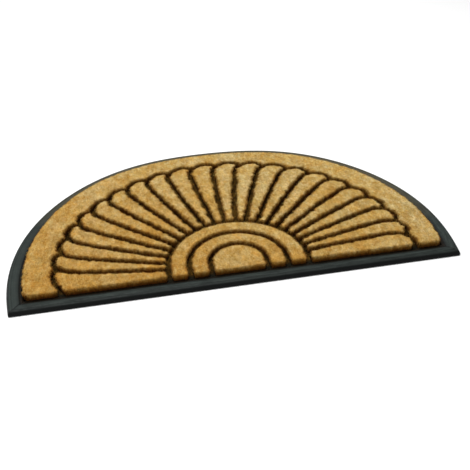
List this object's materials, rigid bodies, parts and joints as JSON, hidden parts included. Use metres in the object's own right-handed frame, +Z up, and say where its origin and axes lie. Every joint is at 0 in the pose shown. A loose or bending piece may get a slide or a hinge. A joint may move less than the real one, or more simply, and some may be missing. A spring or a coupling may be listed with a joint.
{
  "type": "half-round coir doormat",
  "caption": "Half-round doormat: a moulded rubber base with a sloped rim and ribs, holding raised blocks of coir pile in a fan of petals, half rings and a scalloped band.",
  "frame": {"origin": "centre of the mat's bounding box, on the underside", "axes": "+X along the straight front edge, to the right as seen from the front; +Y back towards the curved edge; +Z up, out of the pile"},
  "size_m": [0.7614, 0.4416, 0.019],
  "materials": {
    "rubber": "satin moulded rubber",
    "coir": "coarse sheared coir pile"
  },
  "bodies": {
    "root": {"rubber_base": "rubber", "coir_band": "coir", "coir_petal_01": "coir", "coir_petal_02": "coir", "coir_petal_03": "coir", "coir_petal_04": "coir", "coir_petal_05": "coir", "coir_petal_06": "coir", "coir_petal_07": "coir", "coir_petal_08": "coir", "coir_petal_09": "coir", "coir_petal_10": "coir", "coir_petal_11": "coir", "coir_petal_12": "coir", "coir_petal_13": "coir", "coir_petal_14": "coir", "coir_petal_15": "coir", "coir_petal_16": "coir", "coir_petal_17": "coir", "coir_petal_18": "coir", "coir_petal_19": "coir", "coir_petal_20": "coir", "coir_petal_21": "coir", "coir_petal_22": "coir", "coir_ring_outer": "coir", "coir_ring_inner": "coir", "coir_centre": "coir"}
  },
  "joints": []
}
